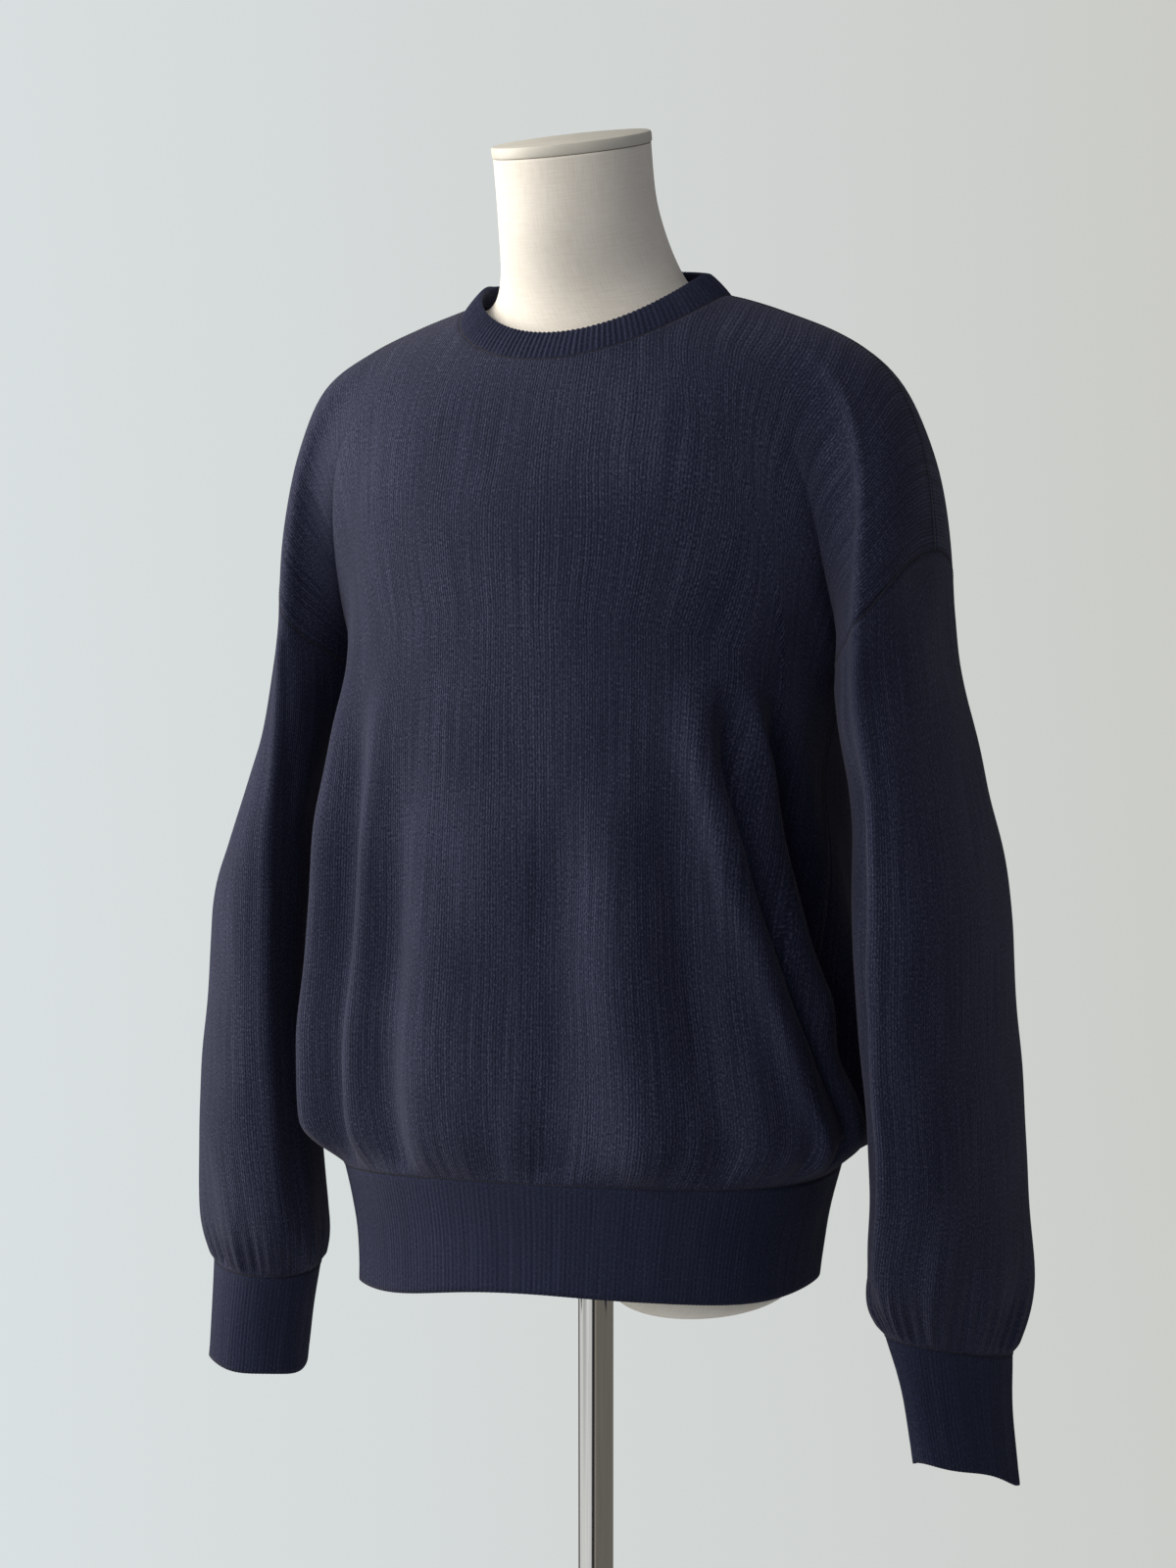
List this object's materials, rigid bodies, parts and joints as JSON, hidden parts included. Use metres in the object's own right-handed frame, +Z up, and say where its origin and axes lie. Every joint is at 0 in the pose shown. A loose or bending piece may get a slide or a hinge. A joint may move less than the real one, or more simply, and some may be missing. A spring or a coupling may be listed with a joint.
{
  "type": "sweater on a limbless dress form",
  "caption": "Oversized crew-neck pullover in fine wool knit with dropped shoulders, ribbed neckband, hem and cuffs, on a limbless dress form.",
  "frame": {"origin": "on the floor under the middle of the base plate, on the pole's axis", "axes": "+Z up along the pole; the figure faces -Y and its left is +X"},
  "size_m": [0.6619, 0.32, 1.5277],
  "materials": {
    "navy_knit": "fine woollen stockinette, heathered navy, lightly brushed",
    "navy_rib": "fine rib knit, heathered navy",
    "linen_cover": "plain-woven unbleached linen",
    "cap_board": "smooth matte",
    "pole_chrome": "polished",
    "base_steel": "fine circular brushing"
  },
  "bodies": {
    "root": {"front": "navy_knit", "back": "navy_knit", "sleeve_left": "navy_knit", "sleeve_right": "navy_knit", "cuff_left": "navy_rib", "cuff_right": "navy_rib", "hem_band": "navy_rib", "neckband": "navy_rib", "form_torso": "linen_cover", "form_thigh_left": "linen_cover", "form_thigh_right": "linen_cover", "form_neck_cap": "cap_board", "pole": "pole_chrome", "base_plate": "base_steel", "base_socket": "pole_chrome"}
  },
  "joints": []
}
